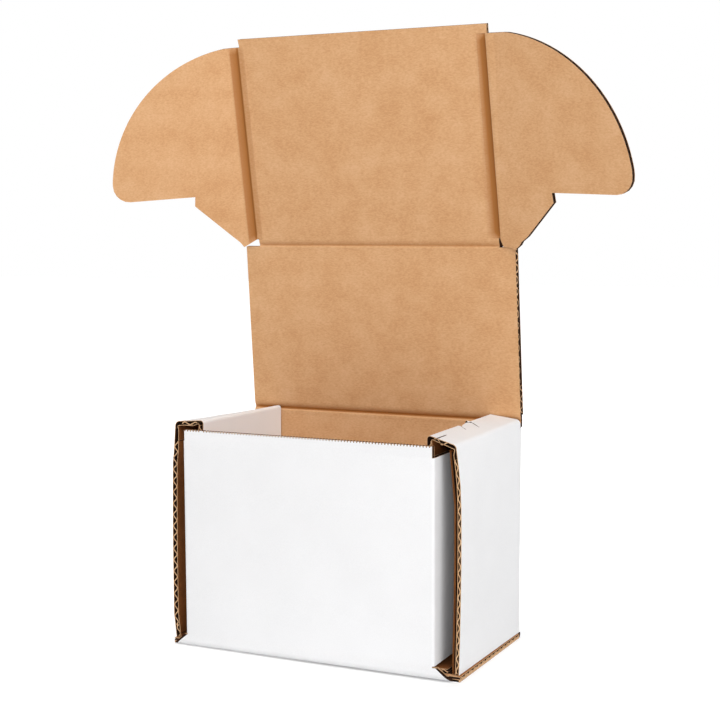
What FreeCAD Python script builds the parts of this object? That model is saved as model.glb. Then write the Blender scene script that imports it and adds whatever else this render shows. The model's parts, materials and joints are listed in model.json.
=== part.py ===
"""Mug box: a die-cut corrugated mailer, standing open.

One blank of single-wall board is folded into a tray with rolled, hollow side walls. The
lid, its front tuck flap and the two locking ears swing on creases of the same blank.
Millimetres. Origin: centre of the base panel's underside. X runs along the width, Y to
the back, Z up. The white liner is outside and the kraft liner inside.
"""
import FreeCAD, Part
import math
import os

from FreeCAD import Placement, Rotation, Vector
from Sketcher import Constraint

# Driving sizes: alias, value, what it is.
DRIVING = [
    ("board", 3.0, "thickness of the corrugated board"),
    ("inside_width", 128.0, "clear width between the two side walls"),
    ("base_depth", 95.5, "base panel, front fold to back fold"),
    ("wall_height", 119.6, "floor to the inner top fold of a side wall"),
    ("top_slope", 2.2, "fall of a side wall's top panel towards the outside"),
    ("front_drop", 2.1, "front wall's top edge below the side walls"),
    ("front_lean", 2.1, "how far the front wall's top edge stands out past its foot"),
    ("wall_setback", 7.4, "side walls' front edges behind the front fold"),
    ("flap_gap", 1.0, "front wall's side flap to the inner panel it lies along"),
    ("ear_slot", 2.2, "side flap to a locking ear pushed into the side wall"),
    ("ear_clearance", 0.6, "locking ear to the return panel"),
    ("return_board", 1.5, "return panel, rolled thin"),
    ("bottom_board", 2.6, "side wall's bottom panel, pressed on the base"),
    ("rest_gap", 0.2, "between panels that only rest on each other"),
    ("ledge", 1.45, "base panel's side edge past the side wall"),
    ("lid_clearance", 0.35, "closed lid over the side walls"),
    ("tuck_clearance", 0.4, "closed tuck flap in front of the front wall"),
    ("tuck_floor_gap", 4.0, "closed tuck flap's free edge above the floor"),
    ("crease_gap", 0.3, "end of a panel to the middle of its crease"),
    ("crease_land", 0.05, "board left square at a crease, on the kraft side"),
    ("flap_top_drop", 5.8, "side flap's top edge below the front wall's"),
    ("flap_foot", 7.8, "side flap's lower edge above the floor"),
    ("flap_taper", 1.2, "narrowing of a side flap towards its end, each edge"),
    ("flap_end_gap", 14.0, "side flap's end to the back wall"),
    ("flare", 7.0, "spread of the front wall's foot to the base's width"),
    ("base_nose", 4.5, "base's side edges start behind the front fold"),
    ("ear_foot_gap", 7.85, "closed ear's lowest edge above the floor"),
    ("ear_end_gap", 14.25, "closed ear's end to the back wall"),
    ("ear_shoulder", 30.4, "ear's shoulder to the lid crease"),
    ("ear_step", 5.0, "depth of the step below the shoulder"),
    ("ear_step_reach", 33.6, "step to the ear's crease"),
    ("ear_throat", 5.0, "throat of the ear's tip to the lid crease"),
    ("ear_throat_reach", 13.2, "start of the ear's slanted edge from its crease"),
    ("ear_tip", 1.0, "ear's tip to the lid crease"),
    ("ear_tip_clearance", 0.7, "closed ear's tip to the side wall's top panel"),
    ("ear_root", 4.6, "start of the ear's crease from the lid crease"),
    ("ear_radius", 82.7, "round of the ear"),
    ("ear_corner", 9.0, "round where the ear meets its shoulder"),
    ("fold_radius", 2.5, "outside radius of a tight fold"),
    ("roll_radius", 5.0, "outside radius of the side wall's outer top fold"),
    ("lock_length", 13.0, "lock notch along the right wall's inner fold"),
    ("lock_depth", 3.4, "lock notch into the top panel"),
    ("lock_slit", 5.6, "length of each slit beside the lock notch"),
    ("lock_kerf", 0.5, "width of a slit"),
    ("lock_start", 2.8, "front end of the lock notch from the middle of the base"),
    ("lid_lean", 5.8, "lid's lean to the front as it stands, degrees"),
    ("tuck_lean", 11.6, "tuck flap's lean to the front, degrees"),
    ("left_ear_fold", 23.3, "left ear's fold from the tuck flap, degrees"),
    ("right_ear_fold", 13.5, "right ear's fold from the tuck flap, degrees"),
]

# Sizes that follow from them: alias, formula.
DERIVED = [
    ("half_depth", "base_depth / 2"),
    ("inner_face", "inside_width / 2"),
    ("inner_back", "inner_face + board"),
    ("flap_inner", "inner_back + flap_gap"),
    ("flap_outer", "flap_inner + board"),
    ("ear_face", "flap_outer + ear_slot"),
    ("return_inner", "ear_face + board + ear_clearance"),
    ("return_outer", "return_inner + return_board"),
    ("outer_inner", "return_outer + rest_gap"),
    ("outer_face", "outer_inner + board"),
    ("base_half", "outer_face + ledge"),
    ("tuck_half", "ear_face - crease_gap"),
    ("foot_half", "flap_outer + flare"),
    ("back_inner", "half_depth - board"),
    ("wall_front", "-half_depth + wall_setback"),
    ("ring_back", "back_inner - rest_gap"),
    ("rest_height", "board + rest_gap"),
    ("outer_height", "wall_height - top_slope"),
    ("slope_rate", "top_slope / (outer_face - inner_face)"),
    ("slope_board", "board * sqrt(1 + slope_rate * slope_rate)"),
    ("under_inner", "wall_height - slope_rate * board - slope_board"),
    ("under_outer", "outer_height + slope_rate * board - slope_board"),
    ("roll_foot", "outer_height - 8"),
    ("return_top", "under_outer - rest_gap - 0.2"),
    ("bottom_top", "rest_height + bottom_board"),
    ("front_height", "wall_height - front_drop"),
    ("lean_rate", "front_lean / front_height"),
    ("front_angle", "atan(lean_rate) / 1 deg"),
    ("flap_top", "front_height - flap_top_drop"),
    ("flap_foot_y", "-half_depth - lean_rate * flap_foot + board - rest_gap"),
    ("flap_top_y", "-half_depth - lean_rate * flap_top + board - rest_gap"),
    ("flap_end", "back_inner - flap_end_gap"),
    ("crease_height", "wall_height + lid_clearance"),
    ("tuck_face", "half_depth + front_lean + tuck_clearance"),
    ("lid_length", "back_inner + tuck_face"),
    ("tuck_height", "crease_height - tuck_floor_gap"),
    ("ear_top", "crease_height - ear_foot_gap"),
    ("ear_length", "lid_length - ear_end_gap"),
    ("ear_tip_reach", "wall_front + tuck_face - ear_tip_clearance"),
    ("crease_bevel", "board - crease_land"),
    ("corner_radius", "board"),
]

doc = FreeCAD.newDocument("mug_box")
sheet = doc.addObject("Spreadsheet::Sheet", "Sizes")
for row, (alias, value, note) in enumerate(DRIVING, 1):
    sheet.set(f"A{row}", note)
    sheet.set(f"B{row}", str(value))
    sheet.setAlias(f"B{row}", alias)
for row, (alias, formula) in enumerate(DERIVED, len(DRIVING) + 2):
    sheet.set(f"B{row}", "=" + formula)
    sheet.setAlias(f"B{row}", alias)
doc.recompute()


def size(alias):
    """The number that a cell of the sheet holds."""
    return float(sheet.get(alias))


def cell(words):
    """An expression in aliases, as setExpression wants it."""
    out = []
    for word in words.replace("(", " ( ").replace(")", " ) ").split():
        named = word.lstrip("-")
        if named.isidentifier():
            word = word.replace(named, "Sizes." + named)
        out.append(word)
    return " ".join(out)


def new_body(label):
    body = doc.addObject("PartDesign::Body", label)
    body.Label = label
    return body


def new_sketch(body, name, plane, away="0", tilt=None):
    """A sketch on one of the body's origin planes, moved along the plane's normal."""
    sketch = body.newObject("Sketcher::SketchObject", name)
    origin = next(f for f in body.Origin.OriginFeatures if f.Role == plane)
    sketch.AttachmentSupport = (origin, [""])
    sketch.MapMode = "FlatFace"
    if tilt:
        sketch.AttachmentOffset = Placement(Vector(), Rotation(Vector(1, 0, 0), 1))
        sketch.setExpression(".AttachmentOffset.Rotation.Angle", cell(tilt))
    sketch.setExpression(".AttachmentOffset.Base.z", cell(away))
    return sketch


def pin(sketch, edge, end, across, up):
    """Tie one end of a sketch's edge to the sheet."""
    for kind, words in (("DistanceX", across), ("DistanceY", up)):
        number = sketch.addConstraint(Constraint(kind, -1, 1, edge, end, 1.0))
        sketch.setExpression(f"Constraints[{number}]", cell(words))


def outline(sketch, corners):
    """A closed outline of straight edges through corners given in aliases."""
    count = len(corners)
    rough = [Vector(50 * math.cos(i * math.tau / count), 50 * math.sin(i * math.tau / count), 0)
             for i in range(count)]
    for i in range(count):
        sketch.addGeometry(Part.LineSegment(rough[i], rough[(i + 1) % count]), False)
    for i, (across, up) in enumerate(corners):
        sketch.addConstraint(Constraint("Coincident", (i - 1) % count, 2, i, 1))
        pin(sketch, i, 1, across, up)
    return sketch


def pad(body, name, sketch, length, reverse=False):
    feature = body.newObject("PartDesign::Pad", name)
    feature.Profile = sketch
    feature.Type = "Length"
    feature.setExpression("Length", cell(length))
    feature.Reversed = reverse
    return feature


def edges_where(feature, test, axis):
    """Names of the feature's edges along an axis whose two ends both pass a test of place."""
    names = []
    for number, edge in enumerate(feature.Shape.Edges, 1):
        ends = [v.Point for v in edge.Vertexes]
        if len(ends) == 2 and all(test(p) for p in ends):
            run = ends[1] - ends[0]
            if abs(run.dot(axis)) > 0.9 * run.Length:
                names.append(f"Edge{number}")
    return names


def dress(body, kind, name, axis, test, words):
    """Round or bevel the edges of the body's last feature that pass the test."""
    doc.recompute()
    last = body.Tip
    names = edges_where(last, test, axis)
    if not names:
        raise RuntimeError(f"{name}: no edge in that place")
    feature = body.newObject(f"PartDesign::{kind}", name)
    feature.Base = (last, names)
    feature.setExpression("Radius" if kind == "Fillet" else "Size", cell(words))
    return feature


def near(value, alias):
    return abs(value - size(alias)) < 0.01


ALONG_X, ALONG_Y, ALONG_Z = Vector(1, 0, 0), Vector(0, 1, 0), Vector(0, 0, 1)


# ---- tray: base, front wall with its side flaps, back wall and the rolled side walls
def make_tray():
    tray = new_body("tray")
    front = outline(new_sketch(tray, "front_outline", "XZ_Plane", "half_depth", "front_angle"), [
        ("-flap_outer", "flare"), ("flap_outer", "flare"), ("flap_outer", "front_height"),
        ("-flap_outer", "front_height")])
    pad(tray, "front_wall", front, "board", reverse=True)
    dress(tray, "Fillet", "flap_folds", ALONG_Z,
          lambda p: near(abs(p.x), "flap_outer") and p.y < -size("half_depth"), "fold_radius")
    foot = outline(new_sketch(tray, "foot_outline", "XZ_Plane", "half_depth", "front_angle"), [
        ("-foot_half", "0"), ("foot_half", "0"), ("flap_outer", "flare"),
        ("-flap_outer", "flare")])
    pad(tray, "flared_foot", foot, "board", reverse=True)
    dress(tray, "Fillet", "front_fold", ALONG_X,
          lambda p: abs(p.z) < 0.01 and near(-p.y, "half_depth"), "fold_radius")
    base = outline(new_sketch(tray, "base_outline", "XY_Plane"), [
        ("-foot_half", "fold_radius - half_depth"), ("foot_half", "fold_radius - half_depth"),
        ("base_half", "base_nose - half_depth"), ("base_half", "half_depth"),
        ("-base_half", "half_depth"), ("-base_half", "base_nose - half_depth")])
    pad(tray, "base_panel", base, "board")

    back = outline(new_sketch(tray, "back_outline", "XZ_Plane", "-half_depth"), [
        ("-outer_face", "0"), ("outer_face", "0"), ("outer_face", "crease_height - crease_gap"),
        ("-outer_face", "crease_height - crease_gap")])
    pad(tray, "back_wall", back, "board")

    for side, name in ((-1, "left"), (1, "right")):
        flap = outline(
            new_sketch(tray, f"{name}_flap_outline", "YZ_Plane",
                       "flap_inner" if side > 0 else "-flap_outer"),
            [("flap_foot_y", "flap_foot"), ("flap_end", "flap_foot + flap_taper"),
             ("flap_end", "flap_top - flap_taper"), ("flap_top_y", "flap_top")])
        pad(tray, f"{name}_flap", flap, "board")
        outer = outline(
            new_sketch(tray, f"{name}_outer_outline", "YZ_Plane",
                       "outer_inner" if side > 0 else "-outer_face"),
            [("wall_front", "rest_height"), ("half_depth", "rest_height"),
             ("half_depth", "roll_foot"), ("wall_front", "roll_foot")])
        pad(tray, f"{name}_outer_panel", outer, "board")
        ring = outline(
            new_sketch(tray, f"{name}_roll_outline", "XZ_Plane", "-ring_back"),
            [(f"{side} * {across}", up) for across, up in (
                ("outer_face", "roll_foot"), ("outer_face", "outer_height"),
                ("inner_face", "wall_height"), ("inner_face", "rest_height"),
                ("return_outer", "rest_height"), ("return_outer", "return_top"),
                ("return_inner", "return_top"), ("return_inner", "bottom_top"),
                ("inner_back", "bottom_top"), ("inner_back", "under_inner"),
                ("outer_inner", "under_outer"), ("outer_inner", "roll_foot"))])
        pad(tray, f"{name}_rolled_wall", ring, "ring_back - wall_front")

    dress(tray, "Chamfer", "lid_crease_bevel", ALONG_X,
          lambda p: near(p.y, "half_depth") and p.z > size("outer_height") + 1, "crease_bevel")
    dress(tray, "Fillet", "outer_top_folds", ALONG_Y,
          lambda p: near(abs(p.x), "outer_face") and near(p.z, "outer_height"), "roll_radius")
    dress(tray, "Fillet", "inner_top_folds", ALONG_Y,
          lambda p: near(abs(p.x), "inner_face") and near(p.z, "wall_height"), "fold_radius")
    dress(tray, "Fillet", "inner_foot_folds", ALONG_Y,
          lambda p: near(abs(p.x), "inner_face") and near(p.z, "rest_height"), "fold_radius")
    dress(tray, "Fillet", "back_fold", ALONG_X,
          lambda p: abs(p.z) < 0.01 and near(p.y, "half_depth"), "fold_radius")
    dress(tray, "Fillet", "back_corner_folds", ALONG_Z,
          lambda p: near(abs(p.x), "outer_face") and near(p.y, "half_depth") and p.z > 1,
          "fold_radius")
    cut_lock(tray)
    return tray


def cut_lock(tray):
    """The lock notch and its two slits across the inner fold of the right side wall."""
    lock = new_sketch(tray, "lock_outline", "XY_Plane", "wall_height + 1")
    outline(lock, [
        ("inner_face - 1", "lock_start"), ("inner_face + lock_depth", "lock_start"),
        ("inner_face - 1", "lock_start + lock_length")])
    cut = tray.newObject("PartDesign::Pocket", "lock_notch")
    cut.Profile = lock
    cut.setExpression("Length", cell("1 + board + top_slope"))
    for name, across, along, turn in (
            ("front_slit", "inner_face + lock_depth", "lock_start", -50),
            ("back_slit", "inner_face", "lock_start + lock_length", 30)):
        slit = new_sketch(tray, name + "_outline", "XY_Plane", "wall_height + 1")
        run = f"lock_slit * {math.cos(math.radians(turn)):.4f}"
        rise = f"lock_slit * {math.sin(math.radians(turn)):.4f}"
        outline(slit, [
            (f"{across} - 0.3", along), (f"{across} + {run}", f"{along} + {rise}"),
            (f"{across} + {run}", f"{along} + {rise} + lock_kerf"),
            (f"{across} - 0.3", f"{along} + lock_kerf")])
        cut = tray.newObject("PartDesign::Pocket", name)
        cut.Profile = slit
        cut.setExpression("Length", cell("1 + board + top_slope"))


# ---- lid, tuck flap and ears: each drawn flat, its crease along the body's own X or Z axis
def make_lid():
    lid = new_body("lid")
    shape = outline(new_sketch(lid, "lid_outline", "XZ_Plane"), [
        ("-outer_face", "crease_gap"), ("outer_face", "crease_gap"),
        ("outer_face", "lid_length - crease_gap"), ("-outer_face", "lid_length - crease_gap")])
    pad(lid, "lid_panel", shape, "board", reverse=True)
    dress(lid, "Fillet", "lid_corners", ALONG_Y,
          lambda p: near(abs(p.x), "outer_face") and near(p.z, "crease_gap"), "corner_radius")
    dress(lid, "Chamfer", "lid_crease_bevels", ALONG_X,
          lambda p: near(p.y, "board") and (near(p.z, "crease_gap")
          or p.z > size("lid_length") - 1), "crease_bevel")
    lid.Placement = Placement(crease_point(), Rotation(Vector(1, 0, 0), size("lid_lean")))
    return lid


def make_tuck_flap():
    tuck = new_body("tuck_flap")
    shape = outline(new_sketch(tuck, "tuck_outline", "XZ_Plane"), [
        ("-tuck_half", "crease_gap"), ("tuck_half", "crease_gap"),
        ("tuck_half", "tuck_height"), ("-tuck_half", "tuck_height")])
    pad(tuck, "tuck_panel", shape, "board", reverse=True)
    dress(tuck, "Chamfer", "tuck_crease_bevels", ALONG_X,
          lambda p: near(p.y, "board") and p.z < size("tuck_height") - 0.1, "crease_bevel")
    dress(tuck, "Chamfer", "ear_crease_bevels", ALONG_Z,
          lambda p: near(p.y, "board") and near(abs(p.x), "tuck_half"), "crease_bevel")
    tuck.Placement = Placement(tuck_point(), Rotation(Vector(1, 0, 0), size("tuck_lean")))
    return tuck


def make_ear(side, name):
    ear = new_body(name)
    sketch = new_sketch(ear, name + "_outline", "XZ_Plane")
    corners = [("crease_gap", "ear_root"), ("ear_tip_reach - 1", "ear_tip"),
               ("ear_tip_reach", "ear_throat"), ("ear_throat_reach", "ear_throat + 0.4"),
               ("ear_step_reach + 0.5", "ear_shoulder - ear_step"),
               ("ear_step_reach", "ear_shoulder")]
    count = len(corners)
    far = Vector(side * size("ear_length"), size("ear_shoulder"), 0)
    top = Vector(side * size("crease_gap"), size("ear_top"), 0)
    centre = Vector(side * (size("ear_length") - size("ear_radius")),
                    size("ear_top") - size("ear_radius"), 0)
    rough = [Vector(side * (10 + 5 * i), 5 * i, 0) for i in range(count)]
    for start, end in zip(rough, rough[1:] + [far]):
        sketch.addGeometry(Part.LineSegment(start, end), False)
    rim = Part.Circle(centre, Vector(0, 0, 1), size("ear_radius"))
    angle = [math.atan2(p.y - centre.y, p.x - centre.x) for p in (far, top)]
    arc = Part.ArcOfCircle(rim, *(angle if side > 0 else angle[::-1]))
    sketch.addGeometry(arc, False)
    sketch.addGeometry(Part.LineSegment(top, rough[0]), False)
    start, end = (1, 2) if side > 0 else (2, 1)
    for i, (across, up) in enumerate(corners):
        pin(sketch, i, 1, f"{side} * ( {across} )", up)
        if i:
            sketch.addConstraint(Constraint("Coincident", i - 1, 2, i, 1))
    sketch.addConstraint(Constraint("Coincident", count - 1, 2, count, start))
    sketch.addConstraint(Constraint("Coincident", count, end, count + 1, 1))
    sketch.addConstraint(Constraint("Coincident", count + 1, 2, 0, 1))
    sketch.addConstraint(Constraint("Horizontal", count - 1))
    sketch.addConstraint(Constraint("Vertical", count + 1))
    pin(sketch, count, 3, f"{side} * ( ear_length - ear_radius )", "ear_top - ear_radius")
    number = sketch.addConstraint(Constraint("Radius", count, size("ear_radius")))
    sketch.setExpression(f"Constraints[{number}]", cell("ear_radius"))
    pad(ear, name + "_panel", sketch, "board", reverse=True)
    dress(ear, "Fillet", name + "_corner", ALONG_Y,
          lambda p: abs(p.x) > size("ear_step_reach") + 5 and near(p.z, "ear_shoulder"),
          "ear_corner")
    dress(ear, "Chamfer", name + "_crease_bevel", ALONG_Z,
          lambda p: near(p.y, "board") and near(abs(p.x), "crease_gap"), "crease_bevel")
    turn = Rotation(Vector(1, 0, 0), size("tuck_lean"))
    fold = Rotation(Vector(0, 0, 1), -side * size(name + "_fold"))
    hinge = tuck_point() + turn.multVec(Vector(side * size("ear_face"), 0, 0))
    ear.Placement = Placement(hinge, turn * fold)
    return ear


def crease_point():
    """Middle of the crease between back wall and lid, on the kraft face."""
    return Vector(0, size("back_inner"), size("crease_height"))


def tuck_point():
    """Middle of the crease between lid and tuck flap, on the kraft face."""
    up = Rotation(Vector(1, 0, 0), size("lid_lean")).multVec(Vector(0, 0, 1))
    return crease_point() + up * size("lid_length")


nodes = [make_tray(), make_lid(), make_tuck_flap(), make_ear(-1, "left_ear"),
         make_ear(1, "right_ear")]
doc.recompute()

for item in doc.Objects:
    if {"Invalid", "Error"} & set(item.State):
        raise RuntimeError(f"{item.Label} did not build: {item.State}")
for node in nodes:
    if node.Shape.isNull() or not node.Shape.isValid() or len(node.Shape.Solids) != 1:
        raise RuntimeError(f"{node.Label} is not one sound solid")

os.makedirs("parts", exist_ok=True)
for node in nodes:
    node.Shape.exportStep(f"parts/{node.Label}.step")
    box = node.Shape.BoundBox
    print(f"{node.Label}: {node.Shape.Volume / 1000:.1f} cm3, x {box.XMin:.1f} {box.XMax:.1f},"
          f" y {box.YMin:.1f} {box.YMax:.1f}, z {box.ZMin:.1f} {box.ZMax:.1f}")
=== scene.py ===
"""Looks of the mug box: white-faced corrugated board, folded from one blank and standing open.

Every panel is built as real board: an outer bleached liner, an inner kraft liner and the
waved fluting between them, so that the cut edges show their flutes. Sizes are millimetres
in the part's own frame: X to the right, Y to the back, Z up from the table.
"""
import json
import math

import bmesh
import bpy
from mathutils import Matrix, Vector


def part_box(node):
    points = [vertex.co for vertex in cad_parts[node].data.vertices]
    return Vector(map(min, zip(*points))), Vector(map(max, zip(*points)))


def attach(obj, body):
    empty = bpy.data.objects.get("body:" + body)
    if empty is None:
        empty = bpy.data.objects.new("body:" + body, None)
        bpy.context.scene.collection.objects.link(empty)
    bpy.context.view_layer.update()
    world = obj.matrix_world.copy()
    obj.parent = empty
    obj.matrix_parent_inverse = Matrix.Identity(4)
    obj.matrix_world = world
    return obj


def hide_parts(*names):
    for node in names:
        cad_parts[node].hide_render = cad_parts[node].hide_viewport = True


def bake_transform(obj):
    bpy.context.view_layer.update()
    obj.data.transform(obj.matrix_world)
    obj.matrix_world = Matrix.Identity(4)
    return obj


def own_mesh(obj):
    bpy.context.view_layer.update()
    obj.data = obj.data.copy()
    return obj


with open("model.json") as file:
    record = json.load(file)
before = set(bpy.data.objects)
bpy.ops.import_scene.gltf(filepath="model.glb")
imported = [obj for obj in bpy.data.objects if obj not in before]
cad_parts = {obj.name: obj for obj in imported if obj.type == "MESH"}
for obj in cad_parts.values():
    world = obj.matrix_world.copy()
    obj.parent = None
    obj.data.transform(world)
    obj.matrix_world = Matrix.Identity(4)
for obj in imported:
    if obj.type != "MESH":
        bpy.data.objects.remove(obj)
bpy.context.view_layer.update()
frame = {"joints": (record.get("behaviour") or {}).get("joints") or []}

MM = 0.001


# ---- sizes
def far_corner(node):
    """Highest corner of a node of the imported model, in millimetres."""
    return [round(value / MM, 2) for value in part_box(node)[1]]


def hinge(name):
    """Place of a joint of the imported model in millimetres, and its limits in degrees."""
    joint = next(joint for joint in frame["joints"] if joint["name"] == name)
    return [round(value / MM, 2) for value in joint["pos_m"]], joint["range_deg"]


BOARD = 3.0            # thickness of the board
LINER = 0.3            # thickness of one liner
PLY = LINER / 2        # a liner's middle below its face
MEDIUM = 0.55          # thickness of the waved medium, drawn heavy so that it shows
SWING = 0.97           # half the height of the wave between the liners
FLUTE = 6.15           # length of one flute, as B flute has
PER_FLUTE = 8          # points along one flute
ARC_RUNS = 5           # straight runs in each rounded bend

lid_crease_at, lid_range = hinge("lid_hinge")
tuck_crease_at, tuck_range = hinge("tuck_hinge")
right_crease_at, right_range = hinge("right_ear_hinge")
left_range = hinge("left_ear_hinge")[1]
_, BACK_INNER, CREASE_UP = lid_crease_at         # kraft face of the back wall, and its top crease
LID_LONG = round(math.dist(lid_crease_at, tuck_crease_at), 1)    # lid, crease to crease
EAR_FACE = right_crease_at[0]                    # creases between tuck flap and ears
# Degrees that the lid and the tuck flap lean to the front, and that each ear is folded in. The
# joints' limits tell them: closed, the lid lies flat and the flap hangs straight down, and an
# unfolded ear is in line with the flap.
LID_LEAN = 90 - lid_range[1]
TUCK_LEAN = LID_LEAN + 90 - tuck_range[1]
EAR_FOLD = {-1: -left_range[0], 1: -right_range[0]}
BASE_EDGE, BACK_FACE, _ = far_corner("tray")     # side edge of the base, back wall's white face
OUTER_FACE = far_corner("lid")[0]                # side wall's outer panel, and the lid's edge
TUCK_EDGE = far_corner("tuck_flap")[0]           # tuck flap's side edges, below and above its ears

INNER_FACE = 64.0      # side wall's inner panel
FLAP_FACE = 71.0       # outer face of the front wall's side flaps
WALL_FRONT = -42.3     # front cut edge of the side walls
RING_BACK = 44.15      # rear end of the rolled panels
FRONT_FACE = -BACK_FACE    # white face of the front wall at its foot
FRONT_TOP = 117.5      # free edge of the front wall, along its face
FRONT_BACK = 2.1       # how far that edge lies behind the foot
FOOT_FOLD = -43.25     # fold between the base and the flared foot of the front wall
FOOT_TOP = 7.0         # where the flared foot ends and the front wall stands straight
WALL_FOOT = 3.2        # height at which the outer faces of the walls start
# Spring of each side wall's top: at its inner fold and outer shoulder, in front and at the back.
WALL_LIFT = {-1: ((2.6, 3.2), (1.9, 0.4)), 1: ((2.3, 0.5), (3.6, 3.3))}
TUCK_TOP = 115.9       # tuck flap, crease to free edge
EAR_LONG = 80.75       # reach of an ear from its crease
EAR_ROUND = 82.7       # radius of its large round
EAR_TOP = 112.1        # top of that round, over the tuck flap's crease
EAR_CREST = {-1: 111.5, 1: 111.1}     # where the top of each ear's round is cut off flat
EAR_STEP = {-1: 30.4, 1: 29.5}        # height of the step under each ear's shoulder
# Lower corner of each ear, from its crease outwards: reach, height over the tuck flap's crease,
# and the radius of a rounded corner.
EAR_TIPS = {-1: [(0.3, 3.5), (8.6, -0.6, 0.4), (10.7, 2.4, 1.5), (14.0, 5.5, 3.0)],
            1: [(0.3, 4.1), (1.8, 1.3), (2.4, -0.5), (7.7, -0.75), (8.9, -2.0, 0.3),
                (12.2, 0.6, 1.0), (13.6, 2.7, 1.0), (17.3, 5.5, 2.0)]}
CREASE_SPAN = 3.2      # board on each side of a crease that bends with it


# ---- modelling with operators
def deselect():
    """Leave edit mode and select nothing."""
    if bpy.context.object and bpy.context.object.mode != "OBJECT":
        bpy.ops.object.mode_set(mode="OBJECT")
    bpy.ops.object.select_all(action="DESELECT")


def take(obj):
    """Make obj the only selected and the active object."""
    deselect()
    obj.select_set(True)
    bpy.context.view_layer.objects.active = obj
    return obj


def edit(obj, choose=None):
    """Enter edit mode on obj with its corners chosen by place, in millimetres, or all of them."""
    take(obj)
    bpy.ops.object.mode_set(mode="EDIT")
    bpy.ops.mesh.select_mode(type="VERT")
    bpy.ops.mesh.select_all(action="SELECT" if choose is None else "DESELECT")
    if choose is not None:
        mesh = bmesh.from_edit_mesh(obj.data)
        for corner in mesh.verts:
            corner.select_set(choose(corner.co / MM))
        mesh.select_flush_mode()
        bmesh.update_edit_mesh(obj.data)


def trace(name, points, closed=False):
    """A line of edges drawn through points by extruding one corner from each to the next."""
    deselect()
    bpy.ops.mesh.primitive_plane_add(size=MM)
    line = bpy.context.object
    line.name = line.data.name = name
    edit(line)
    bpy.ops.mesh.merge(type="CENTER")
    bpy.ops.transform.translate(value=Vector(points[0]) * MM)
    for here, there in zip(points, points[1:]):
        step = (Vector(there) - Vector(here)) * MM
        bpy.ops.mesh.extrude_vertices_move(TRANSFORM_OT_translate={"value": step})
    if closed:
        bpy.ops.mesh.select_all(action="SELECT")
        bpy.ops.mesh.edge_face_add()
    deselect()
    return line


def pull(obj, *steps):
    """Extrude the whole of obj along a vector, or along several, one after the other."""
    edit(obj)
    for along in steps:
        bpy.ops.mesh.extrude_region_move(TRANSFORM_OT_translate={"value": Vector(along) * MM})
    deselect()
    return obj


def face_out(obj, out):
    """Turn a sheet so that the largest of its faces that lie across out look that way."""
    edit(obj)
    bpy.ops.mesh.normals_make_consistent(inside=False)
    mesh = bmesh.from_edit_mesh(obj.data)
    widest = max(mesh.faces, key=lambda f: abs(f.normal.dot(Vector(out))) * f.calc_area())
    if widest.normal.dot(Vector(out)) < 0:
        bpy.ops.mesh.flip_normals()
    deselect()


def thicken(obj, amount):
    """Give a sheet its thickness; its back takes the second material, its cut edges the third."""
    take(obj)
    wall = obj.modifiers.new("thickness", "SOLIDIFY")
    wall.thickness = amount * MM
    wall.offset = 0
    wall.use_even_offset = True
    wall.material_offset = 1
    wall.material_offset_rim = 2
    bpy.ops.object.modifier_apply(modifier=wall.name)
    return obj


def nudge(obj, by, choose):
    """Move the corners of obj that are chosen by place."""
    edit(obj, choose)
    bpy.ops.transform.translate(value=Vector(by) * MM)
    deselect()


def finish_with(obj, *finishes):
    """Give obj its materials, in order."""
    for finish in finishes:
        obj.data.materials.append(finish)
    return obj


def solid(name, outline, *steps):
    """A closed solid: an outline pulled along a vector or several, its faces outwards."""
    shape = pull(trace(name, outline, closed=True), *steps)
    edit(shape)
    bpy.ops.mesh.normals_make_consistent(inside=False)
    deselect()
    return shape


def slice_off(obj, point, normal):
    """Cut obj with a plane and drop what is on the side of the normal."""
    edit(obj)
    bpy.ops.mesh.bisect(plane_co=Vector(point) * MM, plane_no=normal, use_fill=True,
                        clear_outer=True, threshold=1e-6)
    deselect()
    return obj


def carve(obj, cutter, keep):
    """Keep what is inside the cutter, or drop it; the cutter is used up."""
    take(obj)
    knife = obj.modifiers.new("carve", "BOOLEAN")
    knife.operation = "INTERSECT" if keep else "DIFFERENCE"
    knife.solver = "EXACT"
    knife.object = cutter
    bpy.ops.object.modifier_apply(modifier=knife.name)
    bpy.data.objects.remove(cutter)
    return obj


def block(low, high):
    """A plain closed block, for carving with."""
    deselect()
    low, high = Vector(low), Vector(high)
    bpy.ops.mesh.primitive_cube_add(size=1, location=(low + high) / 2 * MM, scale=(high - low) * MM)
    bpy.ops.object.transform_apply()
    return bpy.context.object


def join(name, parts):
    """Join parts to one piece with this name."""
    deselect()
    for part in parts:
        part.select_set(True)
    bpy.context.view_layer.objects.active = parts[0]
    bpy.ops.object.join()
    whole = bpy.context.object
    whole.name = whole.data.name = name
    return whole


def put(obj, where):
    """Move and turn obj by a matrix given in millimetres and bake that into its mesh."""
    take(obj)
    where = where.copy()
    where.translation *= MM
    obj.matrix_world = where
    bpy.ops.object.transform_apply(location=True, rotation=True, scale=True)
    return obj


# ---- paths in a plane
def rounded(corners):
    """Points along a line through corners (a, b, radius), its bends drawn as arcs."""
    path = []
    for i, (a, b, *radius) in enumerate(corners):
        here = Vector((a, b))
        if not radius or i in (0, len(corners) - 1):
            path.append(here)
            continue
        back = (Vector(corners[i - 1][:2]) - here).normalized()
        ahead = (Vector(corners[i + 1][:2]) - here).normalized()
        half = back.angle(ahead) / 2
        centre = here + (back + ahead).normalized() * radius[0] / math.sin(half)
        start = here + back * radius[0] / math.tan(half) - centre
        end = here + ahead * radius[0] / math.tan(half) - centre
        begin = math.atan2(start.y, start.x)
        turn = (math.atan2(end.y, end.x) - begin + math.pi) % math.tau - math.pi
        for k in range(ARC_RUNS + 1):
            angle = begin + turn * k / ARC_RUNS
            path.append(centre + radius[0] * Vector((math.cos(angle), math.sin(angle))))
    return path


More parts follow.
